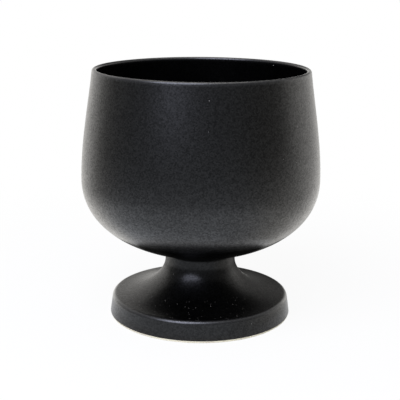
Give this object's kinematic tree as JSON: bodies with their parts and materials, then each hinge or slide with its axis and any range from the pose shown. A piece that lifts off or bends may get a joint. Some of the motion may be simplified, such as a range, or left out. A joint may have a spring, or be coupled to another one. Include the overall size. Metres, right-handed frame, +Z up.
{
  "type": "footed bowl",
  "caption": "Deep round bowl in satin black glaze on a short neck and broad flared foot, for serving or display; stands on a ring of bare clay.",
  "frame": {"origin": "on the ground under the middle of the foot", "axes": "+Z up along the axis of the bowl; X and Y are free, because the bowl is round"},
  "size_m": [0.21, 0.21, 0.2206],
  "materials": {
    "black_glaze": "satin matte black glaze",
    "bare_clay": "unglazed fired stoneware",
    "fired_slip": "fired slip"
  },
  "bodies": {
    "root": {"bowl_body": "bare_clay", "bowl_glaze_outside": "black_glaze", "bowl_glaze_inside": "black_glaze", "pedestal_body": "bare_clay", "pedestal_glaze": "black_glaze", "luting_slip": "fired_slip"}
  },
  "joints": []
}
